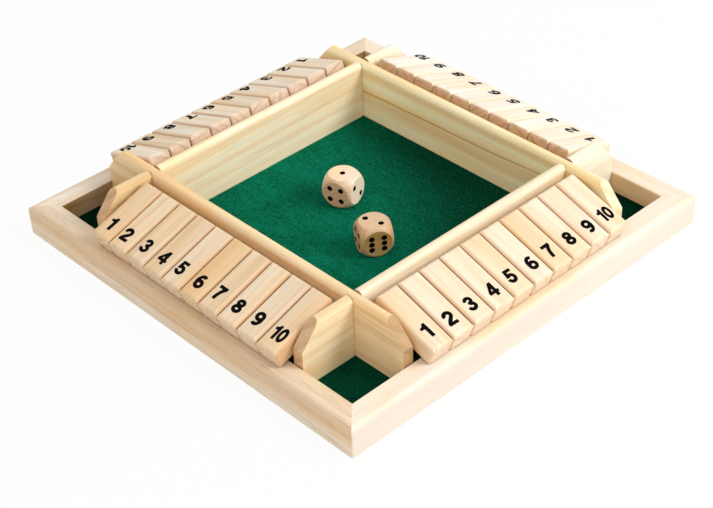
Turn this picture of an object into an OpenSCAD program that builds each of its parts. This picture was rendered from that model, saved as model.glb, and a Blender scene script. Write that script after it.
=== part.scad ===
// Four-sided shut the box game: a square tray with a felted dice pit in the middle and
// a row of ten hinged number tiles along each side. Each tile turns on the rod through its
// upper part, from its rest on the rail, up and over, until it leans on the wall of the pit.
// Millimetres. The origin is the middle of the underside and +Z is up. The front row faces -Y,
// and the right, back and left rows are the same row after one, two and three quarter turns.

/* [Frame] */
// Height of the rails
rail_h = 15; // [12:0.5:18]
// Width of a rail, seen from above
rail_w = 11.8; // [10:0.2:16]
// Rounding of a rail's outer top edge
rail_outer_r = 3; // [1:0.5:5]
// Rounding of a rail's inner top edge
rail_inner_r = 1; // [0.4:0.1:2]
// Rounding of the frame's four upright corners
frame_corner_r = 1; // [0.5:0.5:5]
// How far the base panel reaches under each rail
rebate_w = 5; // [3:0.5:7]

/* [Floor] */
// Thickness of the base panel
base_t = 3; // [2:0.1:4]
// Height of the base panel's underside above the table
base_recess = 0.2; // [0:0.1:0.5]
// Thickness of the felt
felt_t = 1.3; // [0.6:0.1:2]
// Gap between the rails and the edges of the base panel and felt
floor_fit = 0.1; // [0.05:0.05:0.4]

/* [Walls] */
// Height of the pit walls and end boards above the felt
wall_h = 30.7; // [30:0.1:38]
// Thickness of the pit walls and end boards
wall_t = 5.5; // [5:0.1:7]
// Length of the sloping cut on a board's outer end
end_cut_run = 10.2; // [6:0.1:12]
// Drop of the sloping cut on a board's outer end
end_cut_drop = 12; // [6:0.1:13]

/* [Rods] */
// Diameter of the rods that the tiles turn on
rod_d = 4; // [3:0.1:4.5]
// Height of the rods' axes above the felt
rod_rise = 22.7; // [21:0.1:24]
// Distance from a pit wall's outer face to the rod's axis
rod_offset = 13.2; // [12.5:0.1:14]
// Depth of the blind holes that hold the rods' ends
socket_depth = 3.5; // [2:0.1:4]
// Gap between a rod's end and the bottom of its hole
socket_end_gap = 0.2; // [0.1:0.1:0.5]

/* [Tiles] */
// Number of tiles in a row
tile_count = 10; // [6:1:10]
// Length of a tile, along its slope
tile_l = 35; // [33:0.5:38]
// Width of a tile, along its row
tile_w = 12.2; // [10:0.1:14]
// Thickness of a tile
tile_t = 9.6; // [7:0.1:10]
// Rounding of a tile's edges
tile_edge_r = 1.8; // [0.5:0.1:2.4]
// Rounding of a tile's corners, seen from above
tile_corner_r = 1.4; // [0.5:0.1:3]
// Distance from a tile's upper end to the rod's axis
rod_to_end = 10; // [7:0.1:10.5]
// Radial clearance between a tile's hole and the rod
rod_fit = 0.08; // [0.02:0.01:0.1]
// Gap between neighbouring tiles
tile_gap = 0.35; // [0.1:0.05:0.4]
// Spare length of a row between its end boards
row_play = 3.95; // [1:0.05:6]
// How far the front, right, back and left rows have slid along their rods, towards tile 10
row_slide = [0.5, 0.6, 0, 0.8]; // [0:0.1:1.6]
// How far a resting tile's foot reaches in from the rail's inner edge
seat_on_rail = 5.03; // [3:0.01:7]
// Gap under whatever rests on a surface, the tiles on the rails and the dice on the felt
rest_gap = 0.05; // [0.02:0.01:0.1]

/* [Dice] */
// Distance between a die's opposite faces
die_side = 15.6; // [12:0.1:19]
// Diameter of the round flat on each face of a die
die_flat_d = 13.6; // [12:0.1:14.5]
// Diameter of a pip
pip_d = 2.4; // [1.5:0.1:2.5]
// Depth of a pip
pip_depth = 0.6; // [0.3:0.1:1]
// Distance between the outer pips of a face
pip_span = 5.9; // [5:0.1:6.5]
// Middle of the first die on the felt
die_one_at = [-16.8, 5.3]; // [-40:0.1:40]
// Turn of the first die
die_one_turn = -71.5; // [-180:0.5:180]
// Middle of the second die on the felt
die_two_at = [21.4, -11.6]; // [-40:0.1:40]
// Turn of the second die
die_two_turn = -118.8; // [-180:0.1:180]

/* [Hidden] */
SIDES = ["front", "right", "back", "left"];
BOARD_NODES = ["front_rail", "right_rail", "back_rail", "left_rail", "base_panel", "felt_lining",
    "front_wall", "back_wall", "left_wall", "right_wall", "front_left_end_board",
    "front_right_end_board", "back_left_end_board", "back_right_end_board",
    "front_rod", "right_rod", "back_rod", "left_rod", "die_one", "die_two"];
TILE_NODES = [for (side = SIDES) for (n = [1 : tile_count]) tile_name(side, n)];

$fn = 48;
quarter = 90;
cut_over = 1;

row_w = tile_count * tile_w + (tile_count - 1) * tile_gap;
pit_side = row_w + row_play;
wall_in = pit_side / 2;
wall_out = wall_in + wall_t;
rod_y = wall_out + rod_offset;

floor_top = base_recess + base_t + felt_t;
wall_top = floor_top + wall_h;
rod_z = floor_top + rod_rise;

// A resting tile touches the rail with the rounded lower corner of its foot. The corner's
// centre is seat_arm along the tile from the rod and seat_side towards its underside.
seat_arm = tile_l - rod_to_end - tile_edge_r;
seat_side = tile_t / 2 - tile_edge_r;
seat_drop = rod_z - rail_h - rest_gap - tile_edge_r;
rest_slope = asin(seat_drop / norm([seat_arm, seat_side])) - atan2(seat_side, seat_arm);
seat_reach = seat_arm * cos(rest_slope) - seat_side * sin(rest_slope);

rail_in = rod_y + seat_reach - seat_on_rail;
frame_half = rail_in + rail_w;

pine = "#f0d9a8";
end_pine = "#ead09c";
tile_wood = "#f2dcb8";
felt_green = "#08684a";
die_wood = "#e3c094";

function tile_name(side, n) = str(side, "_tile_", n);

// A row's geometry is drawn on the front side and turned to the side it belongs to.
module on_side(side_index) {
    rotate([0, 0, quarter * side_index])
        children();
}

// A rectangle centred on the origin with all four corners rounded.
module rounded_rectangle(width, height, r) {
    square([width - 2 * r, height], center = true);
    square([width, height - 2 * r], center = true);
    for (sx = [-1, 1], sy = [-1, 1])
        translate([sx * (width / 2 - r), sy * (height / 2 - r)])
            circle(r);
}

// Section of a rail with its outer face at x = 0 and its inner face at x = rail_w.
module rail_section() {
    difference() {
        union() {
            translate([rail_outer_r, 0])
                square([rail_w - rail_outer_r - rail_inner_r, rail_h]);
            square([rail_w / 2, rail_h - rail_outer_r]);
            translate([rail_w / 2, 0])
                square([rail_w / 2, rail_h - rail_inner_r]);
            translate([rail_outer_r, rail_h - rail_outer_r])
                circle(rail_outer_r);
            translate([rail_w - rail_inner_r, rail_h - rail_inner_r])
                circle(rail_inner_r);
        }
        translate([rail_w - rebate_w, -cut_over])
            square([rebate_w + cut_over, base_recess + base_t + cut_over]);
    }
}

// Plan of the front rail: a strip with mitred ends, inside the frame's rounded outline.
module rail_plan() {
    intersection() {
        polygon([
            [0, 0],
            [-frame_half - cut_over, -frame_half - cut_over],
            [frame_half + cut_over, -frame_half - cut_over]
        ]);
        rounded_rectangle(2 * frame_half, 2 * frame_half, frame_corner_r);
    }
}

module rail(side_index) {
    color(pine)
        on_side(side_index)
            intersection() {
                translate([-frame_half - cut_over, -frame_half, 0])
                    rotate([quarter, 0, quarter])
                        linear_extrude(2 * (frame_half + cut_over))
                            rail_section();
                translate([0, 0, -cut_over])
                    linear_extrude(rail_h + 2 * cut_over)
                        rail_plan();
            }
}

module base_panel() {
    side = 2 * (rail_in + rebate_w - floor_fit);
    color(end_pine)
        translate([-side / 2, -side / 2, base_recess])
            cube([side, side, base_t]);
}

module felt_lining() {
    side = 2 * (rail_in - floor_fit);
    color(felt_green)
        translate([-side / 2, -side / 2, floor_top - felt_t])
            cube([side, side, felt_t]);
}

// A board on edge with a full-round top, running along +X from the origin, its foot on the felt.
module board(len) {
    translate([0, 0, floor_top])
        rotate([quarter, 0, quarter])
            linear_extrude(len) {
                translate([-wall_t / 2, 0])
                    square([wall_t, wall_h - wall_t / 2]);
                translate([0, wall_h - wall_t / 2])
                    circle(wall_t / 2);
            }
}

// The sloping cut on a board's outer end, which lies at x = 0 with the board on its -X side.
module end_cut() {
    translate([0, wall_t / 2 + cut_over, wall_top])
        rotate([quarter, 0, 0])
            linear_extrude(wall_t + 2 * cut_over)
                polygon([
                    [-end_cut_run * (1 + cut_over / end_cut_drop), cut_over],
                    [cut_over, -end_cut_drop * (1 + cut_over / end_cut_run)],
                    [cut_over, cut_over]
                ]);
}

// The hole for a rod's end, from the origin along +X.
module socket() {
    translate([-cut_over, 0, 0])
        rotate([0, quarter, 0])
            cylinder(d = rod_d, h = cut_over + socket_depth);
}

// The front wall runs from rail to rail and also holds the ends of the two side rows' rods.
module through_wall(side_index) {
    color(pine)
        on_side(side_index)
            translate([0, -wall_in - wall_t / 2, 0])
                difference() {
                    translate([-rail_in, 0, 0])
                        board(2 * rail_in);
                    for (end = [0, 1])
                        mirror([end, 0, 0]) {
                            translate([rail_in, 0, 0])
                                end_cut();
                            translate([rod_y, wall_t / 2, rod_z])
                                rotate([0, 0, -quarter])
                                    socket();
                        }
                }
}

// The side walls fit between the two through walls.
module cross_wall(side_index) {
    color(pine)
        on_side(side_index)
            translate([-wall_in, -wall_in - wall_t / 2, 0])
                board(pit_side);
}

// An end board carries on the line of a cross wall from a through wall out to the rail,
// and holds one end of the front or back row's rod. This is the front row's right-hand one.
module end_board() {
    color(end_pine)
        difference() {
            translate([wall_in + wall_t / 2, -wall_out, 0])
                rotate([0, 0, -quarter])
                    difference() {
                        board(rail_in - wall_out);
                        translate([rail_in - wall_out, 0, 0])
                            end_cut();
                    }
            translate([wall_in, -rod_y, rod_z])
                socket();
        }
}

module rod(side_index) {
    len = pit_side + 2 * (socket_depth - socket_end_gap);
    color(end_pine)
        on_side(side_index)
            translate([-len / 2, -rod_y, rod_z])
                rotate([0, quarter, 0])
                    cylinder(d = rod_d, h = len);
}

// A tile lying flat, with the rod's axis along X through the origin and its foot towards -Y.
module tile_blank() {
    middle_y = rod_to_end - tile_l / 2;
    difference() {
        translate([0, middle_y, 0])
            intersection() {
                translate([-tile_w / 2, 0, 0])
                    rotate([quarter, 0, quarter])
                        linear_extrude(tile_w)
                            rounded_rectangle(tile_l, tile_t, tile_edge_r);
                translate([0, tile_l / 2, 0])
                    rotate([quarter, 0, 0])
                        linear_extrude(tile_l)
                            rounded_rectangle(tile_w, tile_t, tile_edge_r);
                translate([0, 0, -tile_t / 2])
                    linear_extrude(tile_t)
                        rounded_rectangle(tile_w, tile_l, tile_corner_r);
            }
        translate([-tile_w / 2 - cut_over, 0, 0])
            rotate([0, quarter, 0])
                cylinder(r = rod_d / 2 + rod_fit, h = tile_w + 2 * cut_over);
    }
}

module tile(side_index, n) {
    x = row_slide[side_index] - row_w / 2 + tile_w / 2 + (n - 1) * (tile_w + tile_gap);
    color(tile_wood)
        on_side(side_index)
            translate([x, -rod_y, rod_z])
                rotate([rest_slope, 0, 0])
                    tile_blank();
}

// Centres of the pips on the face that shows n, in half pip spans from the face's middle.
function pip_spots(n) = concat(
    n % 2 == 1 ? [[0, 0]] : [],
    n > 1 ? [[1, -1], [-1, 1]] : [],
    n > 3 ? [[1, 1], [-1, -1]] : [],
    n == 6 ? [[1, 0], [-1, 0]] : []
);

// The pips of one face, drilled into a die whose face is turned up.
module pips(n) {
    for (spot = pip_spots(n))
        translate([spot[0] * pip_span / 2, spot[1] * pip_span / 2, die_side / 2 - pip_depth])
            cylinder(d = pip_d, h = pip_depth + cut_over);
}

// A die about its centre with 1 up, 2 towards +Y and 4 towards +X. Opposite faces add up to 7.
module die_blank() {
    difference() {
        intersection() {
            cube(die_side, center = true);
            sphere(r = norm([die_side, die_flat_d]) / 2);
        }
        pips(1);
        rotate([-quarter, 0, 0])
            pips(2);
        rotate([0, -quarter, 0])
            pips(3);
        rotate([0, quarter, 0])
            pips(4);
        rotate([quarter, 0, 0])
            pips(5);
        rotate([2 * quarter, 0, 0])
            pips(6);
    }
}

module die(at, turn, tip) {
    color(die_wood)
        translate([at[0], at[1], floor_top + rest_gap + die_side / 2])
            rotate([tip, 0, turn])
                die_blank();
}

rail(0);  // front_rail
rail(1);  // right_rail
rail(2);  // back_rail
rail(3);  // left_rail
base_panel();
felt_lining();
through_wall(0);  // front_wall
cross_wall(1);  // right_wall
through_wall(2);  // back_wall
cross_wall(3);  // left_wall
mirror([1, 0, 0]) end_board();  // front_left_end_board
end_board();  // front_right_end_board
mirror([1, 0, 0]) mirror([0, 1, 0]) end_board();  // back_left_end_board
mirror([0, 1, 0]) end_board();  // back_right_end_board
rod(0);  // front_rod
rod(1);  // right_rod
rod(2);  // back_rod
rod(3);  // left_rod
for (side_index = [0 : len(SIDES) - 1])
    for (n = [1 : tile_count])
        tile(side_index, n);
die(die_one_at, die_one_turn, 0);  // die_one
die(die_two_at, die_two_turn, quarter);  // die_two
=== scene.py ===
import math
import random

import bmesh
import bpy
import numpy as np
from mathutils import Matrix, Vector


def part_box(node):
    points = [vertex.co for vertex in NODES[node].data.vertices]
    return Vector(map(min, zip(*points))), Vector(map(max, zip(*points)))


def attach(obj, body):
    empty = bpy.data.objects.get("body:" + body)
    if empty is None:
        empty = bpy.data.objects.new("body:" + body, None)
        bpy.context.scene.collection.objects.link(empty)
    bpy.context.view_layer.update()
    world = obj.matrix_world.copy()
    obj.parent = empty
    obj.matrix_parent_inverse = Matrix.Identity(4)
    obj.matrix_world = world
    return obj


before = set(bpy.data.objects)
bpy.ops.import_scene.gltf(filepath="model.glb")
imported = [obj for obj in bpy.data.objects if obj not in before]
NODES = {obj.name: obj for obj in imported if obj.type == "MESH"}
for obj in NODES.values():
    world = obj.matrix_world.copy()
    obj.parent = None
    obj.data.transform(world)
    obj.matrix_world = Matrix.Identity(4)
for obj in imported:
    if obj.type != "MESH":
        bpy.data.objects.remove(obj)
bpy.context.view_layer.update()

MM = 0.001
SIDES = ["front", "right", "back", "left"]
COUNT = 10

# The CAD's own values that the added pieces sit on, in millimetres.
SLOPE = math.radians(18.891)
ROD_Y, ROD_Z = 83.25, 27.2
TILE_T, PITCH = 9.6, 12.55
FIRST_TILE = -56.475
ROW_SLIDE = [0.5, 0.6, 0, 0.8]
FLOOR_TOP, REST_GAP = 4.5, 0.05
DIE_SIDE, PIP_D, PIP_DEPTH, PIP_SPAN = 15.6, 2.4, 0.6, 5.9
# Each die's place on the felt, its turn about Z and its tip about X, in degrees.
DICE = {
    "die_one": ((-16.8, 5.3), -71.5, 0),
    "die_two": ((21.4, -11.6), -118.8, 90),
}


def turned(side):
    """The turn from the front row to another side's row."""
    return Matrix.Rotation(side * math.pi / 2, 3, "Z")


def linear(rgb):
    """A colour given in sRGB steps of 0 to 255, as the linear colour that a shader takes."""
    out = []
    for v in rgb:
        c = v / 255
        out.append(c / 12.92 if c <= 0.04045 else ((c + 0.055) / 1.055) ** 2.4)
    return (*out, 1)


# ---------------------------------------------------------------- node helpers


class Nodes:
    """A node tree that starts from its output node alone."""

    def __init__(self, tree, output):
        self.tree = tree
        tree.nodes.clear()
        self.out = self.add(output)

    def add(self, kind, **settings):
        node = self.tree.nodes.new(kind)
        for key, value in settings.items():
            setattr(node, key, value)
        return node

    def put(self, socket, value):
        """Links or sets a socket."""
        if isinstance(value, bpy.types.NodeSocket):
            self.tree.links.new(value, socket)
        else:
            socket.default_value = value

    def math(self, operation, *values, clamp=False):
        node = self.add("ShaderNodeMath", operation=operation, use_clamp=clamp)
        for socket, value in zip(node.inputs, values):
            self.put(socket, value)
        return node.outputs[0]

    def vector(self, operation, *values, out=0):
        """A vector in the first output, or a number in the second, for LENGTH and DOT_PRODUCT."""
        node = self.add("ShaderNodeVectorMath", operation=operation)
        for socket, value in zip(node.inputs, values):
            self.put(socket, value)
        return node.outputs[out]


class Shader(Nodes):
    """A new material, with a short call for each kind of node that its surface uses."""

    def __init__(self, name):
        self.mat = bpy.data.materials.new(name)
        self.mat.use_nodes = True
        super().__init__(self.mat.node_tree, "ShaderNodeOutputMaterial")
        self.coords = self.add("ShaderNodeTexCoord")

    def in_mm(self):
        """Object coordinates in millimetres."""
        return self.vector("MULTIPLY", self.coords.outputs["Object"], (1000, 1000, 1000))

    def board_space(self, axes, offset):
        """Object coordinates in millimetres along the three given axes, plus the offset."""
        node = self.add("ShaderNodeMapping")
        self.put(node.inputs["Vector"], self.coords.outputs["Object"])
        node.inputs["Rotation"].default_value = Matrix(axes).to_euler("XYZ")
        node.inputs["Scale"].default_value = (1000, 1000, 1000)
        node.inputs["Location"].default_value = offset
        return node.outputs[0]

    def noise(self, vector, scale, detail=2.0, roughness=0.5, distortion=0.0):
        """Noise with as many waves in a millimetre along each axis as the scale says."""
        node = self.add("ShaderNodeTexNoise")
        self.put(node.inputs["Vector"], self.vector("MULTIPLY", vector, scale))
        node.inputs["Scale"].default_value = 1
        node.inputs["Detail"].default_value = detail
        node.inputs["Roughness"].default_value = roughness
        node.inputs["Distortion"].default_value = distortion
        return node.outputs["Fac"]

    def ease(self, value, low, high, to_low=0.0, to_high=1.0):
        """The value's way from low to high as a smooth step from to_low to to_high."""
        node = self.add("ShaderNodeMapRange", interpolation_type="SMOOTHSTEP")
        for socket, v in zip(node.inputs, (value, low, high, to_low, to_high)):
            self.put(socket, v)
        return node.outputs[0]

    def mix(self, factor, a, b, blend="MIX"):
        node = self.add("ShaderNodeMix", data_type="RGBA", blend_type=blend)
        self.put(node.inputs[0], factor)
        self.put(node.inputs[6], a)
        self.put(node.inputs[7], b)
        return node.outputs[2]

    def shaded(self, colour, value):
        """The colour, made lighter or darker by the value."""
        grey = self.add("ShaderNodeCombineColor")
        for socket in grey.inputs:
            self.put(socket, value)
        return self.mix(1.0, colour, grey.outputs[0], "MULTIPLY")

    def surface(self, colour, roughness, height, depth, specular, sheen=None):
        """Ends the material: height is a bump, depth its size in millimetres, and sheen, if any,
        a weight, a roughness and a tint."""
        bsdf = self.add("ShaderNodeBsdfPrincipled")
        self.put(bsdf.inputs["Base Color"], colour)
        self.put(bsdf.inputs["Roughness"], roughness)
        bsdf.inputs["Specular IOR Level"].default_value = specular
        if sheen:
            bsdf.inputs["Sheen Weight"].default_value = sheen[0]
            bsdf.inputs["Sheen Roughness"].default_value = sheen[1]
            bsdf.inputs["Sheen Tint"].default_value = sheen[2]
        bump = self.add("ShaderNodeBump")
        bump.inputs["Strength"].default_value = 1
        bump.inputs["Distance"].default_value = depth * MM
        self.put(bump.inputs["Height"], height)
        self.put(bsdf.inputs["Normal"], bump.outputs[0])
        self.put(self.out.inputs["Surface"], bsdf.outputs[0])
        return self.mat


# ---------------------------------------------------------------- pieces


def add_piece(name, bm, material):
    """A new object in the scene, made from the bmesh, which this frees."""
    mesh = bpy.data.meshes.new(name)
    bm.to_mesh(mesh)
    bm.free()
    mesh.materials.append(material)
    piece = bpy.data.objects.new(name, mesh)
    bpy.context.scene.collection.objects.link(piece)
    return piece


def dress(node, material):
    """Gives a CAD node the material."""
    slots = NODES[node].data.materials
    slots.clear()
    slots.append(material)


def middle(node):
    """The middle of a node's box, in millimetres."""
    low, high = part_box(node)
    return (low + high) / 2 / MM


# ---------------------------------------------------------------- wood

FLECK_TONE = (170, 114, 60)
# The tone of the painted shade in seams and hollows, and how far the occlusion that places it
# looks, in millimetres.
CREASE_SHADE_TONE, CREASE_SHADE_REACH = (98, 52, 16), 1.6


def wood(
    name,
    along,
    across,
    pale,
    dark,
    seed,
    centre=(0, 0, 0),
    pith=(60, -25),
    spacing=4.5,
    slant=0.02,
    warp=4.0,
    rings=0.5,
    bands=0.4,
    fibre=0.1,
    end=None,
    edge=None,
    rod_spot=None,
    streaks=(),
    faces=(),
    crease_shade=None,
    flecks=0.0,
    roughness=0.55,
):
    """Solid wood: rings about a pith line, fibres and pores along the grain, end grain, and painted
    light and shade on some faces and in seams.

    along and across are the board's axes, centre is its middle, and pith is the tree's middle
    beside it, across and in depth. pale and dark are the early and the late wood. spacing is the
    rings' width, slant and warp how far they lean and bend, and rings, bands and fibre are the
    strength of each mark. Lengths are in millimetres.

    end: tone, strength and contrast of the end grain.
    edge: tone and strength of painted shade and bounced light on the faces across the board.
    rod_spot: place, size and tone of a dark spot on those faces, where the rod goes in.
    streaks: darker bands along the board, each with its place across and in depth, tilt, size,
    tone, strength and softness.
    faces: faces toned by their direction to paint light and shade on them, each with its direction,
    tone and strength.
    crease_shade: strength of the painted shade in seams and hollows, placed by ambient occlusion,
    and the openness at which it begins and is full.
    flecks: strength of short dark flecks."""
    rng = random.Random(seed)
    s = Shader(name)
    along, across = Vector(along).normalized(), Vector(across).normalized()
    depth = along.cross(across)
    centre = Vector(centre)
    offset = [-centre.dot(axis) for axis in (along, across, depth)]
    p = s.board_space((along, across, depth), offset)
    far = s.vector("ADD", p, (rng.uniform(0, 900), rng.uniform(0, 900), rng.uniform(0, 900)))

    # Rings: the distance from the pith, bent by slow noise along the board.
    flat = s.vector("MULTIPLY", p, (0, 1, 1))
    reach = s.vector("LENGTH", s.vector("ADD", flat, (0, -pith[0], -pith[1])), out=1)
    lean = s.vector("DOT_PRODUCT", p, (slant, 0, 0), out=1)
    bend = s.math("MULTIPLY", s.noise(far, (0.012, 0.05, 0.05), 2.0), warp)
    width = s.math("ADD", s.math("ADD", reach, lean), bend)
    ring = s.math("DIVIDE", width, spacing)
    each = s.add("ShaderNodeTexWhiteNoise", noise_dimensions="1D")
    s.put(each.inputs["W"], s.math("FLOOR", ring))
    phase = s.math("FRACT", ring)
    late = s.math("MULTIPLY", s.ease(phase, 0.3, 0.85), s.ease(phase, 0.85, 1.0, 1.0, 0.0))
    late = s.math("MULTIPLY", late, s.math("MULTIPLY_ADD", each.outputs[0], 0.8, 0.2))

    # Fibres, pores and the slow drift of colour along a board.
    fibres = s.noise(far, (0.05, 1.3, 1.3), 4.0, 0.6)
    pores = s.ease(s.noise(far, (0.22, 4.5, 4.5), 1.0), 0.68, 0.82)
    drift = s.noise(far, (0.014, 0.07, 0.07), 2.0)
    band = s.ease(s.noise(far, (0.005, 0.16, 0.16), 3.0, 0.55), 0.42, 0.72)

    colour = s.mix(s.math("MULTIPLY", band, bands), linear(pale), linear(dark))
    colour = s.mix(s.math("MULTIPLY", late, rings), colour, linear(dark))
    warm = [c * t for c, t in zip(pale, (0.99, 0.91, 0.78))]
    colour = s.mix(s.ease(drift, 0.42, 0.7, 0, 0.6), colour, linear(warm))
    figure = s.noise(far, (0.018, 0.42, 0.42), 3.0, 0.6)
    shade = s.math("MULTIPLY_ADD", s.math("ADD", fibres, figure), fibre * 1.7, 1 - 1.7 * fibre)
    shade = s.math("SUBTRACT", shade, s.math("MULTIPLY", pores, 0.1))
    colour = s.shaded(colour, shade)
    if flecks:
        fleck = s.ease(s.noise(far, (0.07, 2.0, 2.0), 1.0), 0.64, 0.72, 0, flecks)
        colour = s.mix(fleck, colour, linear(FLECK_TONE))

    normal = s.coords.outputs["Normal"]
    if edge or rod_spot:
        facing = s.math("ABSOLUTE", s.vector("DOT_PRODUCT", normal, across, out=1))
    for place, tilt, size, tone, strength, soft in streaks:
        sway = s.noise(far, (0.02, 0, 0), 2.0)
        rise = s.vector("DOT_PRODUCT", p, (tilt, 0, 0), out=1)
        shift = s.math("MULTIPLY_ADD", sway, 3, rise)
        line = s.add("ShaderNodeCombineXYZ")
        s.put(line.inputs[1], s.math("ADD", shift, place[0] - 1.5))
        s.put(line.inputs[2], place[1])
        near = s.vector("LENGTH", s.vector("SUBTRACT", flat, line.outputs[0]), out=1)
        uneven = s.ease(figure, 0.3, 0.6, 0.6 * strength, strength)
        weight = s.math("MULTIPLY", s.ease(near, size + soft, size - soft), uneven)
        colour = s.mix(weight, colour, linear(tone))
    # Faces toned by their direction, to paint light and shade onto them.
    for direction, tone, strength in faces:
        toward = s.vector("DOT_PRODUCT", normal, direction, out=1)
        uneven = s.ease(drift, 0.3, 0.7, 0.6 * strength, strength)
        face_light_and_shade = s.math("MULTIPLY", s.ease(toward, 0.6, 0.95), uneven)
        colour = s.mix(face_light_and_shade, colour, linear(tone))
    # Painted shade and bounced light on the faces across the board, which the neighbouring tiles
    # hide.
    if edge:
        side_shade = s.math("MULTIPLY", s.ease(facing, 0.25, 0.9), edge[1])
        side_shade = s.math("MULTIPLY", side_shade, s.ease(drift, 0.2, 0.7, 0.7, 1.0))
        colour = s.mix(side_shade, colour, linear(edge[0]))
    # A darker spot on the faces across the board, around the rod's hole.
    if rod_spot:
        place, size, tone = rod_spot
        near = s.vector("MULTIPLY", s.vector("SUBTRACT", p, place), (1, 0, 1))
        near = s.vector("LENGTH", near, out=1)
        spot = s.ease(s.math("MULTIPLY_ADD", drift, 3, near), size + 1.5, size * 0.5 + 1.5)
        spot = s.math("MULTIPLY", spot, s.ease(facing, 0.25, 0.7, 0, 0.8))
        colour = s.mix(spot, colour, linear(tone))
    if end:
        cut = s.math("ABSOLUTE", s.vector("DOT_PRODUCT", normal, along, out=1))
        cut = s.ease(cut, 0.3, 0.9)
        coarse = s.noise(far, (0.3, 2.0, 2.0), 3.0, 0.8)
        speck = s.ease(coarse, 0.36, 0.64, 1 - end[2], 1 + 0.5 * end[2])
        speck = s.math("MULTIPLY", speck, s.math("MULTIPLY_ADD", late, -0.3, 1.05))
        colour = s.mix(s.math("MULTIPLY", cut, end[1]), colour, s.shaded(linear(end[0]), speck))
    # Painted shade: darker where ambient occlusion finds the surface closed in, in seams and
    # hollows.
    if crease_shade:
        hidden = s.add("ShaderNodeAmbientOcclusion", samples=6)
        hidden.inputs["Distance"].default_value = CREASE_SHADE_REACH * MM
        strength, begins, full = crease_shade
        crease_darkening = s.ease(hidden.outputs["AO"], begins, full, 0, strength)
        colour = s.mix(crease_darkening, colour, linear(CREASE_SHADE_TONE))

    rough = s.math("MULTIPLY_ADD", fibres, 0.2, roughness - 0.1)
    height = s.math("ADD", s.math("MULTIPLY", late, -0.4), fibres)
    height = s.math("SUBTRACT", height, s.math("MULTIPLY", pores, 0.6))
    return s.surface(colour, rough, height, 0.05, 0.25)


# ---------------------------------------------------------------- boards, rods, tiles and dice

X, Y, Z = (1, 0, 0), (0, 1, 0), (0, 0, 1)
# Pale and dark tone and strength of the rings. The tones are partly the boards' own and partly a
# painted sheen that makes the right and back rails paler.
RAIL = {
    "front_rail": ((238, 223, 202), (214, 184, 146), 0.45),
    "right_rail": ((246, 233, 217), (243, 224, 200), 0.25),
    "back_rail": ((249, 238, 222), (232, 198, 156), 0.3),
    "left_rail": ((240, 227, 211), (212, 180, 140), 0.4),
}
RAIL_FLECKS = {"front_rail": 0.5, "right_rail": 0.12, "back_rail": 0.12, "left_rail": 0.4}
# Rail faces toned by direction: the inner faces beside the pockets darker as painted shade, and the
# right rail's outer side a greyer pale, painted to stand in for the glare on that lit side.
RAIL_FACES = {
    "front_rail": [(Y, (206, 166, 116), 0.5)],
    "right_rail": [((-1, 0, 0), (196, 148, 84), 0.8), (X, (226, 216, 203), 0.9)],
    "back_rail": [((0, -1, 0), (226, 180, 118), 0.8)],
    "left_rail": [(X, (132, 94, 16), 1.0)],
}
RAIL_STREAKS = {
    "front_rail": [
        ((-5.9, 5.5), -0.012, 4.5, (208, 164, 108), 0.52, 3.5),
        ((-7.5, 2.2), 0, 1.6, (200, 150, 92), 0.55, 1.4),
        ((-5.9, -0.5), 0.012, 0.5, (184, 130, 76), 0.65, 0.7),
    ],
}
for i, (node, (pale, dark, rings)) in enumerate(RAIL.items()):
    along, across = ((X, Y), (Y, X))[i % 2]
    made = wood(
        f"{node}_pine", along, across, pale, dark, 11 + i, middle(node), pith=(25, -60),
        spacing=3.8, rings=rings, fibre=0.13, flecks=RAIL_FLECKS[node], faces=RAIL_FACES[node],
        streaks=RAIL_STREAKS.get(node, ()),
    )
    dress(node, made)

# Painted shade in the boards' seams: strength, and the openness at which it begins and is full.
BOARD_CREASE_SHADE = (0.5, 0.7, 0.3)
# The same for the walls, and the axis that each runs along; the back and left walls' pale tones are
# raised above the wood's own to paint in light that the pit reflects onto them.
WALL = {
    "front_wall": ((249, 222, 178), (216, 168, 106), 0.5, X),
    "right_wall": ((247, 236, 212), (232, 202, 156), 0.35, Y),
    "back_wall": ((255, 244, 204), (246, 198, 120), 0.6, X),
    "left_wall": ((255, 242, 212), (250, 212, 162), 0.8, Y),
}
WALL_END = {"front_wall": ((172, 134, 92), 0.9, 0.1), "back_wall": ((240, 216, 184), 0.6, 0.08)}
WALL_STREAKS = {
    "back_wall": [
        ((1.5, 2.75), 0.028, 0.35, (146, 98, 46), 0.75, 0.6),
        ((-2.5, 2.75), 0.02, 3, (218, 168, 100), 0.45, 2),
        ((11, 2.75), 0, 1.6, (224, 182, 112), 0.45, 1.5),
    ],
    "left_wall": [((9, -2.75), 0.01, 1.2, (236, 196, 148), 0.6, 1.2)],
}
for i, (node, (pale, dark, rings, along)) in enumerate(WALL.items()):
    made = wood(
        f"{node}_pine", along, Z, pale, dark, 31 + i, middle(node), pith=(55, -40),
        spacing=6.5, rings=rings, bands=0.5, fibre=0.17, end=WALL_END.get(node), crease_shade=BOARD_CREASE_SHADE,
        streaks=WALL_STREAKS.get(node, ()),
    )
    dress(node, made)

END_BOARD = {
    "front_left": ((236, 208, 158), (196, 150, 92), 0.55),
    "front_right": ((249, 230, 190), (216, 174, 112), 0.5),
    "back_left": ((252, 245, 226), (234, 208, 168), 0.3),
    "back_right": ((253, 247, 230), (238, 214, 178), 0.3),
}
for i, (corner, (pale, dark, rings)) in enumerate(END_BOARD.items()):
    node = f"{corner}_end_board"
    made = wood(
        f"{node}_pine", Y, Z, pale, dark, 51 + i, middle(node), pith=(48, -30),
        spacing=5.5, rings=rings, fibre=0.13, end=((204, 160, 120), 0.85, 0.12), crease_shade=BOARD_CREASE_SHADE,
    )
    dress(node, made)

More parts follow.
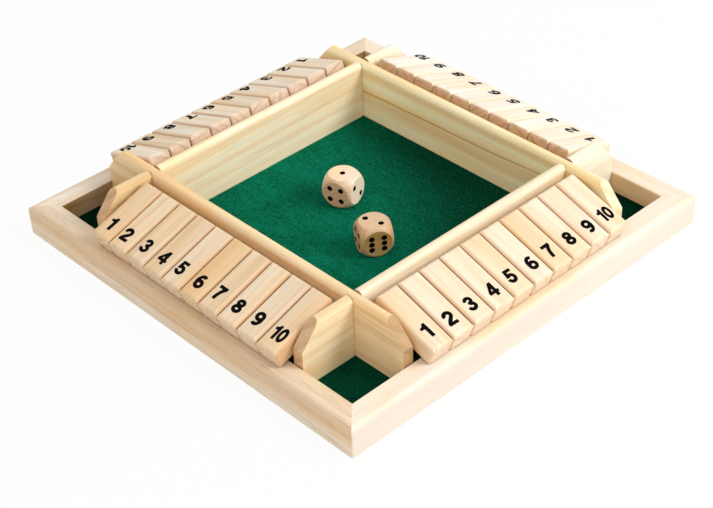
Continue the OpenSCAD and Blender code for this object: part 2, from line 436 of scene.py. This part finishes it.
for i, side in enumerate(SIDES):
    along, across = ((X, Y), (Y, X))[i % 2]
    node = f"{side}_rod"
    made = wood(
        f"{side}_dowel", along, across, (226, 192, 146), (180, 132, 84), 71 + i, middle(node),
        pith=(0, 0), spacing=1.2,
    )
    dress(node, made)

panel = wood(
    "base_board_ply", X, Y, (222, 198, 158), (180, 140, 94), 81, pith=(30, -160),
    spacing=7, slant=0.01, warp=30, rings=0.6,
)
dress("base_panel", panel)

# Each row's pale and dark wood, partly its own tone and partly a painted sheen that makes the right
# and back rows paler, its sides and its end grain.
TILE_TINT = {
    "front": ((237, 216, 188), (212, 174, 126)),
    "right": ((243, 226, 202), (230, 202, 164)),
    "back": ((248, 240, 226), (240, 224, 198)),
    "left": ((244, 232, 214), (216, 184, 148)),
}
# Painted shade and bounced light on each row's sides, where the neighbouring tiles hide them.
TILE_SIDE_SHADE = {
    "front": ((206, 154, 98), 0.6),
    "right": ((226, 178, 124), 0.55),
    "back": ((234, 196, 154), 0.3),
    "left": ((208, 158, 104), 0.6),
}
# The back row's end grain is darker partly as painted shade.
TILE_END = {
    "front": ((222, 192, 158), 0.6, 0.2),
    "right": ((236, 208, 176), 0.6, 0.15),
    "back": ((213, 171, 131), 0.95, 0.35),
    "left": ((228, 201, 176), 0.9, 0.34),
}
# A darker spot on the tiles' sides around the rod's hole: its place along, across and in depth, its
# size and tone.
TILE_ROD_SPOT = ((-7.5, 0, 0), 3.4, (70, 42, 20))
# Painted shade in the seams between tiles.
TILE_CREASE_SHADE = (0.95, 0.55, 0.15)
# Tiles cut from warmer or darker wood than their neighbours: warmth and lightness.
ODD_TILES = {
    ("front", 6): (3.0, -1.0),
    ("front", 1): (1.8, -0.6),
    ("right", 7): (2.4, -0.8),
    ("right", 5): (1.4, 0.2),
    ("left", 9): (2.2, -2.2),
    ("left", 5): (1.4, -0.6),
}
for k, side in enumerate(SIDES):
    turn = turned(k)
    grain = turn @ Vector((0, -math.cos(SLOPE), -math.sin(SLOPE)))
    row = turn @ Vector((1, 0, 0))
    for n in range(1, COUNT + 1):
        rng = random.Random(1000 * k + n)
        warmth, light = rng.uniform(-1, 1), rng.uniform(-1, 1)
        warmth, light = ODD_TILES.get((side, n), (warmth, light))
        red = 1 + 0.012 * light
        tint = (red, red - 0.012 * warmth, red - 0.035 * warmth)
        pale, dark = [[min(250, c * t) for c, t in zip(tone, tint)] for tone in TILE_TINT[side]]
        node = f"{side}_tile_{n}"
        made = wood(
            f"{node}_wood", grain, row, pale, dark, 2000 + 20 * k + n, middle(node),
            pith=(rng.uniform(-60, 60), rng.uniform(-60, -20)), spacing=rng.uniform(2.5, 5),
            slant=rng.uniform(-0.06, 0.06), warp=3, rings=rng.uniform(0.2, 0.6),
            bands=rng.uniform(0.2, 0.6), fibre=0.15, edge=TILE_SIDE_SHADE[side], end=TILE_END[side],
            rod_spot=TILE_ROD_SPOT, crease_shade=TILE_CREASE_SHADE,
        )
        dress(node, made)

DIE_WOOD = {
    "die_one": ((251, 228, 205), (230, 194, 160)),
    "die_two": ((223, 193, 161), (200, 162, 124)),
}
# The first die's face towards the key lamp is painted paler as a highlight; the second die's six
# face is darker brown.
DIE_FACES = {
    "die_one": [((0.95, 0.32, 0), (255, 235, 212), 0.95)],
    "die_two": [((0.876, -0.482, 0), (158, 122, 54), 1.0)],
}
for i, (node, (_, turn, tip)) in enumerate(DICE.items()):
    spin = Matrix.Rotation(math.radians(turn), 3, "Z") @ Matrix.Rotation(math.radians(tip), 3, "X")
    made = wood(
        f"{node}_wood", spin @ Vector(X), spin @ Vector(Y), *DIE_WOOD[node], 91 + i, middle(node),
        pith=(10, -18), spacing=2.2, rings=0.35, bands=0.3, fibre=0.12,
        end=((202, 152, 112), 0.7, 0.12), crease_shade=(0.4, 0.6, 0.2), faces=DIE_FACES[node],
    )
    dress(node, made)


# ---------------------------------------------------------------- felt


def felt():
    """Green felt: mottled, with crossing strands of short fibres."""
    s = Shader("felt_green")
    p = s.in_mm()
    clouds = s.noise(p, (0.04, 0.04, 0.04), 3.0, 0.6)
    tufts = s.noise(p, (0.9, 0.9, 0.9), 4.0, 0.75, 0.6)
    strand_a = s.noise(s.vector("ADD", p, (37, 11, 5)), (0.6, 3.0, 2), 3.0, 0.7, 1.6)
    strand_b = s.noise(s.vector("ADD", p, (5, 71, 9)), (3.0, 0.6, 2), 3.0, 0.7, 1.6)
    fuzz = s.math("MAXIMUM", strand_a, strand_b)
    mottle = s.noise(s.vector("ADD", p, (91, 3, 17)), (0.11, 0.2, 0.2), 4.0, 0.7, 0.8)
    # Painted shade: the felt darkens towards the back and the right, where the walls shade it, and
    # in the corner pockets.
    painted_falloff = s.math("MULTIPLY_ADD", clouds, 30, s.vector("DOT_PRODUCT", p, (0.45, 0.85, 0), out=1))
    reach = s.vector("ABSOLUTE", p)
    split = s.add("ShaderNodeSeparateXYZ")
    s.put(split.inputs[0], reach)
    corner = s.math("MINIMUM", split.outputs[0], split.outputs[1])
    colour = s.mix(s.ease(clouds, 0.3, 0.7), linear((2, 111, 76)), linear((4, 130, 98)))
    colour = s.mix(s.ease(mottle, 0.5, 0.66, 0, 0.4), colour, linear((14, 146, 112)))
    shaded = s.ease(painted_falloff, 8, 66, 0, 0.92)
    colour = s.mix(shaded, colour, linear((0, 50, 29)))
    colour = s.mix(s.ease(mottle, 0.5, 0.34, 0, 0.4), colour, linear((0, 60, 38)))
    lit = s.math("MULTIPLY_ADD", shaded, -0.6, 1)
    tips = s.math("MULTIPLY", s.ease(tufts, 0.5, 0.66, 0, 0.75), lit)
    colour = s.mix(tips, colour, linear((26, 148, 120)))
    colour = s.mix(s.ease(tufts, 0.5, 0.34, 0, 0.75), colour, linear((0, 54, 34)))
    colour = s.mix(s.ease(fuzz, 0.56, 0.38, 0, 0.5), colour, linear((0, 44, 28)))
    lit = s.math("MULTIPLY_ADD", shaded, -0.85, 1)
    ends = s.math("MULTIPLY", s.ease(fuzz, 0.62, 0.76, 0, 0.7), lit)
    colour = s.mix(ends, colour, linear((72, 180, 150)))
    # Painted shade on the felt in the corner pockets.
    colour = s.mix(s.ease(corner, 62, 68, 0, 0.76), colour, linear((0, 30, 12)))
    # The near left pocket lies in the shade of its boards.
    deep = s.vector("DOT_PRODUCT", p, (-0.7, -0.7, 0), out=1)
    colour = s.mix(s.ease(deep, 95, 125, 0, 0.7), colour, linear((2, 12, 2)))
    height = s.math("ADD", fuzz, s.math("MULTIPLY", tufts, 0.8))
    rough = s.ease(fuzz, 0.3, 0.8, 0.98, 0.85)
    return s.surface(colour, rough, height, 0.7, 0.02, (0.05, 0.5, (0.05, 0.6, 0.4, 1)))


dress("felt_lining", felt())


# ---------------------------------------------------------------- ink


def ink(name, tone, patchy):
    """Printed ink, a little lighter in patches."""
    s = Shader(name)
    p = s.in_mm()
    cloud = s.noise(p, (0.9, 0.9, 0.9), 3.0, 0.6)
    grain = s.noise(p, (6, 6, 6), 2.0)
    worn = [c + 16 for c in tone]
    colour = s.mix(s.ease(cloud, 0.35, 0.75, 0, patchy), linear(tone), linear(worn))
    rough = s.math("MULTIPLY_ADD", grain, 0.3, 0.55)
    return s.surface(colour, rough, grain, 0.02, 0.04)


BLACK = (3, 3, 3)
INK = ink("number_ink", BLACK, 0.4)
# The back row's ink is a greyer black, painted to stand in for the glare on its ink, and more worn
# in patches.
WORN_GLARE_INK = ink("number_ink_worn_glare", (38, 38, 43), 0.6)
PIP_INK = ink("pip_ink", BLACK, 0.4)


# ---------------------------------------------------------------- digits

DIGIT_H = 7.0
# How far the ink spreads beyond a digit's outline, how much wider the digits are than drawn, and
# how much a number of two digits is drawn together.
INK_SPREAD = 0.19
WIDER, TOGETHER = 1.04, 0.78
# The grid on which a number's outline is found, and the fewest points of a true loop.
GRID_STEP, GRID_MARGIN = 0.08, 0.6
LEAST_LOOP = 12


def stroke(points, width):
    """The outline of a line of the given width, or widths along it, with square ends."""
    pts = np.array(points, float)
    if len(pts) == 2:
        tangents = np.tile(pts[1] - pts[0], (2, 1))
    else:
        tangents = np.gradient(pts, axis=0)
    tangents /= np.linalg.norm(tangents, axis=1)[:, None]
    sides = np.stack([-tangents[:, 1], tangents[:, 0]], 1)
    half = np.broadcast_to(np.asarray(width, float) / 2, (len(pts),))[:, None]
    return np.vstack([pts + sides * half, (pts - sides * half)[::-1]])


def ring(cx, cy, rx, ry, width):
    """A closed ring, as two strokes that lap over each other."""
    return [stroke(arc(cx, cy, rx, ry, a, a + 190), width) for a in (-5, 175)]


def arc(cx, cy, rx, ry, start, stop, count=40):
    """Points on an ellipse, from one angle to another in degrees."""
    t = np.radians(np.linspace(start, stop, count))
    return list(zip(cx + rx * np.cos(t), cy + ry * np.sin(t)))


def bar(x0, y0, x1, y1):
    return np.array([(x0, y0), (x1, y0), (x1, y1), (x0, y1)], float)


def digit_shapes(n):
    """Polygons of a bold digit one unit high, whose union is the digit, and its advance width."""
    if n == 0:
        return ring(0.36, 0.5, 0.255, 0.405, 0.19), 0.72
    if n == 1:
        flag = [(0.39, 1), (0.36, 0.92), (0.29, 0.85), (0.2, 0.815), (0.1, 0.8), (0.1, 0.665)]
        post = [(0.56, 0), (0.56, 1), *flag, (0.35, 0.665), (0.35, 0)]
        return [np.array(post, float)], 0.7
    if n == 2:
        top = arc(0.355, 0.705, 0.235, 0.2, 190, -30, 50)
        down = [(0.52, 0.54), (0.42, 0.44), (0.31, 0.35), (0.21, 0.25), (0.145, 0.14), (0.12, 0.03)]
        return [stroke(top + down, 0.2), bar(0.03, 0, 0.69, 0.175)], 0.72
    if n == 3:
        upper = stroke(arc(0.345, 0.725, 0.2, 0.185, 175, -85, 50), 0.18)
        lower = stroke(arc(0.345, 0.285, 0.23, 0.205, 95, -175, 60), 0.19)
        return [upper, lower, bar(0.25, 0.465, 0.42, 0.6)], 0.7
    if n == 4:
        slope = np.array([(0.4, 1), (0.59, 1), (0.2, 0.375), (0.02, 0.375), (0.02, 0.36)], float)
        return [slope, bar(0.02, 0.215, 0.71, 0.375), bar(0.4, 0, 0.59, 1)], 0.72
    if n == 5:
        bowl = stroke(arc(0.345, 0.335, 0.235, 0.245, 140, -172, 60), 0.19)
        post = np.array([(0.14, 1), (0.31, 1), (0.27, 0.56), (0.24, 0.45), (0.07, 0.43)], float)
        return [bowl, post, bar(0.14, 0.83, 0.64, 1)], 0.72
    if n == 6:
        back = stroke(arc(0.4, 0.5, 0.28, 0.405, 58, 200, 60), 0.19)
        return [*ring(0.365, 0.32, 0.235, 0.225, 0.19), back], 0.73
    if n == 7:
        leg = [(0.55, 0.86), (0.43, 0.68), (0.345, 0.48), (0.29, 0.25), (0.27, 0)]
        return [stroke(leg, 0.2), bar(0.04, 0.825, 0.67, 1)], 0.7
    if n == 8:
        return ring(0.36, 0.735, 0.205, 0.17, 0.185) + ring(0.36, 0.29, 0.24, 0.195, 0.19), 0.72
    turned_six = [np.array([(0.73, 1)]) - shape for shape in digit_shapes(6)[0]]
    return turned_six, 0.73


def signed_distance(points, polygon):
    """Each point's distance from the polygon's edge, negative inside it."""
    a, b = polygon, np.roll(polygon, -1, axis=0)
    best = np.full(len(points), 1e9)
    inside = np.zeros(len(points), bool)
    for (ax, ay), (bx, by) in zip(a, b):
        dx, dy = bx - ax, by - ay
        length = dx * dx + dy * dy
        if length == 0:
            continue
        px, py = points[:, 0] - ax, points[:, 1] - ay
        t = np.clip((px * dx + py * dy) / length, 0, 1)
        best = np.minimum(best, np.hypot(px - t * dx, py - t * dy))
        crosses = (ay > points[:, 1]) != (by > points[:, 1])
        if crosses.any() and dy != 0:
            inside ^= crosses & (px < (points[:, 1] - ay) * dx / dy)
    return np.where(inside, -best, best)


def contours(field, xs, ys):
    """The closed lines along which the field is zero, each in order."""
    h, w = field.shape
    sign = field < 0
    crossings, steps = {}, {}

    def cross(r0, c0, r1, c1):
        key = (r0, c0, r1, c1)
        if key not in crossings:
            f0, f1 = field[r0, c0], field[r1, c1]
            t = f0 / (f0 - f1)
            crossings[key] = (xs[c0] + t * (xs[c1] - xs[c0]), ys[r0] + t * (ys[r1] - ys[r0]))
        return key

    for r in range(h - 1):
        for c in range(w - 1):
            corners = (sign[r, c], sign[r, c + 1], sign[r + 1, c + 1], sign[r + 1, c])
            if all(corners) or not any(corners):
                continue
            edges = [
                (r, c, r, c + 1), (r, c + 1, r + 1, c + 1),
                (r + 1, c, r + 1, c + 1), (r, c, r + 1, c),
            ]
            following = corners[1:] + corners[:1]
            cut = [cross(*e) for e, a, b in zip(edges, corners, following) if a != b]
            if len(cut) == 4 and not corners[0]:
                cut = [cut[0], cut[3], cut[1], cut[2]]
            for a, b in zip(cut[::2], cut[1::2]):
                steps.setdefault(a, []).append(b)
                steps.setdefault(b, []).append(a)
    loops = []
    left = set(steps)
    while left:
        start = min(left)
        loop, last, here = [start], None, start
        left.discard(start)
        while True:
            home = {start} if len(loop) > 2 else set()
            ahead = [k for k in steps[here] if k != last and (k in left or k in home)]
            if not ahead or ahead[0] == start:
                break
            last, here = here, ahead[0]
            left.discard(here)
            loop.append(here)
        if len(loop) < LEAST_LOOP:
            continue
        pts = np.array([crossings[k] for k in loop])
        pts = 0.25 * np.roll(pts, 1, 0) + 0.5 * pts + 0.25 * np.roll(pts, -1, 0)
        loops.append(pts)
    return loops


def glyph(number, height):
    """Outline loops in millimetres about the middle of the number."""
    shapes, pen = [], 0.0
    squeeze = WIDER if number < 10 else TOGETHER
    for char in str(number):
        parts, advance = digit_shapes(int(char))
        shapes += [(part + (pen, 0)) * (squeeze * height, height) for part in parts]
        pen += advance
    low = min(p[:, 0].min() for p in shapes)
    high = max(p[:, 0].max() for p in shapes)
    xs = np.arange(low - GRID_MARGIN, high + GRID_MARGIN, GRID_STEP)
    ys = np.arange(-GRID_MARGIN, height + GRID_MARGIN, GRID_STEP)
    grid = np.stack(np.meshgrid(xs, ys), -1).reshape(-1, 2)
    field = np.min([signed_distance(grid, p) for p in shapes], axis=0).reshape(len(ys), len(xs))
    centre = np.array([(low + high) / 2, height / 2])
    return [loop - centre for loop in contours(field - INK_SPREAD, xs, ys)]


GLYPHS = {n: glyph(n, DIGIT_H) for n in range(1, COUNT + 1)}
# How far each number sits from its tile's middle along the row, and from the rod down the slope.
ASIDE = {
    "front": [-0.3, -1.2, -0.5, -0.4, -1.4, -0.7, -1.0, -0.8, -0.9, 0.2],
    "right": [-0.8, -0.7, -0.4, 0.3, -0.2, 0.5, -0.1, 0.15, 0.4, 0.1],
    "back": [0.4, -0.1, 0.1, -0.3, 0.4, 0.4, 0.9, 1.0, 1.0, 1.2],
    "left": [-1.4, -1.6, -1.5, -0.3, -0.5, -0.7, -1.3, -1.2, 0.2, -0.7],
}
DOWN = {
    "front": [16.2, 16.7, 16, 15.9, 15.5, 16, 15.4, 15.5, 15.3, 15.7],
    "right": [15.3, 16.2, 15.9, 16.1, 15.5, 15.8, 15.6, 15.9, 16.1, 15.7],
    "back": [16.0, 15.9, 16.5, 16.4, 17, 16.6, 17.2, 17.6, 17.4, 17.4],
    "left": [17.8, 18, 17.6, 17.9, 17.4, 17.4, 17.5, 17.8, 17.2, 17.8],
}
# How thick the ink is, and how far a number may be turned on its tile, in degrees.
INK_LIFT, INK_LEAN = 0.05, 2.5


def number_piece(k, n):
    """The number printed on tile n of side k, which rides the tile."""
    side = SIDES[k]
    turn = turned(k)
    down = turn @ Vector((0, -math.cos(SLOPE), -math.sin(SLOPE)))
    up = turn @ Vector((0, -math.sin(SLOPE), math.cos(SLOPE)))
    row = turn @ Vector((1, 0, 0))
    axis = turn @ Vector((FIRST_TILE + ROW_SLIDE[k] + (n - 1) * PITCH, -ROD_Y, ROD_Z))
    centre = axis + row * ASIDE[side][n - 1] + down * DOWN[side][n - 1] + up * (TILE_T / 2)
    lean = math.radians(random.Random(77 * k + n).uniform(-INK_LEAN, INK_LEAN))
    bm = bmesh.new()
    for loop in GLYPHS[n]:
        outline = []
        for x, y in loop:
            u = x * math.cos(lean) - y * math.sin(lean)
            v = x * math.sin(lean) + y * math.cos(lean)
            outline.append(bm.verts.new((centre + row * u - down * v) * MM))
        for a, b in zip(outline, outline[1:] + outline[:1]):
            bm.edges.new((a, b))
    bmesh.ops.triangle_fill(bm, use_beauty=True, use_dissolve=False, edges=bm.edges[:], normal=up)
    raised = bmesh.ops.extrude_face_region(bm, geom=bm.faces[:])["geom"]
    raised = [g for g in raised if isinstance(g, bmesh.types.BMVert)]
    bmesh.ops.translate(bm, verts=raised, vec=up * INK_LIFT * MM)
    bmesh.ops.recalc_face_normals(bm, faces=bm.faces[:])
    piece = add_piece(f"{side}_number_{n}", bm, WORN_GLARE_INK if side == "back" else INK)
    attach(piece, f"{side}_tile_{n}")


for k in range(4):
    for n in range(1, COUNT + 1):
        number_piece(k, n)


# ---------------------------------------------------------------- pips

# A pip's section: distance from its middle in its radii, and depth in its full depths. The last
# three points lap over the rim.
PIP_PROFILE = [
    (0.0, 0.87), (0.32, 0.83), (0.6, 0.73), (0.82, 0.53), (0.94, 0.27), (0.995, 0.03),
    (1.03, -0.07), (1.12, -0.07), (1.14, 0),
]
PIP_FACETS = 28
# The turn that brings the top of a die to the face with each number.
DIE_TURNS = {1: (0, "X"), 2: (-90, "X"), 3: (-90, "Y"), 4: (90, "Y"), 5: (90, "X"), 6: (180, "X")}


def pip_spots(n):
    """Centres of the pips on the face that shows n, in half pip spans from its middle."""
    spots = [(0, 0)] if n % 2 else []
    if n > 1:
        spots += [(1, -1), (-1, 1)]
    if n > 3:
        spots += [(1, 1), (-1, -1)]
    if n == 6:
        spots += [(1, 0), (-1, 0)]
    return spots


def pip_piece(node, at, turn, tip):
    """Black paint that lines every drilled pip of a die and laps a little over its rim."""
    place = Matrix.Translation((at[0], at[1], FLOOR_TOP + REST_GAP + DIE_SIDE / 2))
    place = place @ Matrix.Rotation(math.radians(turn), 4, "Z")
    place = place @ Matrix.Rotation(math.radians(tip), 4, "X")
    bm = bmesh.new()
    for value, (angle, axis) in DIE_TURNS.items():
        tilt = place @ Matrix.Rotation(math.radians(angle), 4, axis)
        for sx, sy in pip_spots(value):
            rings = []
            for r, d in PIP_PROFILE:
                count = 1 if r == 0 else PIP_FACETS
                rings.append([
                    bm.verts.new((tilt @ Vector((
                        sx * PIP_SPAN / 2 + r * PIP_D / 2 * math.cos(2 * math.pi * j / count),
                        sy * PIP_SPAN / 2 + r * PIP_D / 2 * math.sin(2 * math.pi * j / count),
                        DIE_SIDE / 2 - d * PIP_DEPTH,
                    ))) * MM)
                    for j in range(count)
                ])
            turns = [(j, (j + 1) % PIP_FACETS) for j in range(PIP_FACETS)]
            for j, after in turns:
                bm.faces.new((rings[0][0], rings[1][j], rings[1][after]))
            for inner, outer in zip(rings[1:], rings[2:]):
                for j, after in turns:
                    bm.faces.new((inner[j], outer[j], outer[after], inner[after]))
    for f in bm.faces:
        f.smooth = True
    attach(add_piece(f"{node}_pips", bm, PIP_INK), node)


for node, (at, turn, tip) in DICE.items():
    pip_piece(node, at, turn, tip)


# ---------------------------------------------------------------- stage, light and camera

# The floor's radius and depth below the tray, in metres, its grey, and the share of white in it.
FLOOR_R, FLOOR_DROP, FLOOR_GREY, FLOOR_WHITE = 2.5, 0.0002, 0.86, 0.93
WORLD_LIGHT = 0.68
# Each lamp's place and size in metres, power and colour.
LAMPS = {
    "key": ((1.12, 0.69, 0.99), 0.7, 15.2, (1, 0.985, 0.965)),
    "fill": ((0.58, -1.19, 0.99), 1.2, 4.0, (1, 0.98, 0.955)),
}
# The camera's place in millimetres, its azimuth, elevation and roll in degrees, and its focal
# length in pixels of a frame that is FRAME_W wide.
CAMERA_AT = (462.031455, -422.674482, 454.429490)
CAMERA_TURN = (47.7714088, 36.9269344, -2.55039223)
FOCAL_PX, FRAME_W, SENSOR_W = 1632.52829, 713, 36


def seen_white(s, lit, share):
    """White where the camera, a gloss or a glass sees it, and plain light for the rest."""
    path = s.add("ShaderNodeLightPath")
    seen = s.math("MAXIMUM", path.outputs["Is Camera Ray"], path.outputs["Is Glossy Ray"])
    seen = s.math("MAXIMUM", seen, path.outputs["Is Transmission Ray"])
    white = s.add("ShaderNodeEmission" if share < 1 else "ShaderNodeBackground")
    white.inputs["Color"].default_value = (1, 1, 1, 1)
    white.inputs["Strength"].default_value = 1
    mix = s.add("ShaderNodeMixShader")
    s.put(mix.inputs[0], s.math("MULTIPLY", seen, share))
    s.put(mix.inputs[1], lit)
    s.put(mix.inputs[2], white.outputs[0])
    return mix.outputs[0]


s = Shader("studio_floor_white")
paper = s.add("ShaderNodeBsdfDiffuse")
paper.inputs["Color"].default_value = (FLOOR_GREY, FLOOR_GREY, FLOOR_GREY, 1)
s.put(s.out.inputs["Surface"], seen_white(s, paper.outputs[0], FLOOR_WHITE))
bm = bmesh.new()
bmesh.ops.create_circle(bm, cap_ends=True, radius=FLOOR_R, segments=96)
floor = add_piece("studio_floor", bm, s.mat)
floor.location = (0, 0, -FLOOR_DROP)

world = bpy.data.worlds.new("studio")
bpy.context.scene.world = world
world.use_nodes = True
s = Nodes(world.node_tree, "ShaderNodeOutputWorld")
sky = s.add("ShaderNodeBackground")
sky.inputs["Color"].default_value = (1, 0.99, 0.97, 1)
sky.inputs["Strength"].default_value = WORLD_LIGHT
s.put(s.out.inputs["Surface"], seen_white(s, sky.outputs[0], 1))


def lamp(name, at, size, power, colour):
    """A round lamp that looks at the middle of the tray."""
    data = bpy.data.lights.new(name, "AREA")
    data.shape = "DISK"
    data.size = size
    data.energy = power
    data.color = colour
    obj = bpy.data.objects.new(name, data)
    obj.location = at
    obj.rotation_mode = "QUATERNION"
    obj.rotation_quaternion = (-Vector(at)).to_track_quat("-Z", "Y")
    bpy.context.scene.collection.objects.link(obj)


for name, settings in LAMPS.items():
    lamp(name, *settings)

view = bpy.data.cameras.new("camera")
view.sensor_width = SENSOR_W
view.lens = FOCAL_PX * SENSOR_W / FRAME_W
view.clip_start, view.clip_end = 0.01, 20
camera = bpy.data.objects.new("camera", view)
azimuth, elevation, roll = (math.radians(a) for a in CAMERA_TURN)
level = math.cos(elevation)
back = Vector((math.sin(azimuth) * level, -math.cos(azimuth) * level, math.sin(elevation)))
right = Vector((math.cos(azimuth), math.sin(azimuth), 0))
above = right.cross(-back)
c, d = math.cos(roll), math.sin(roll)
axes = Matrix((right * c + above * d, above * c - right * d, back)).transposed()
camera.matrix_world = Matrix.Translation(Vector(CAMERA_AT) * MM) @ axes.to_4x4()
bpy.context.scene.collection.objects.link(camera)
bpy.context.scene.camera = camera
bpy.context.scene.view_settings.view_transform = "Standard"
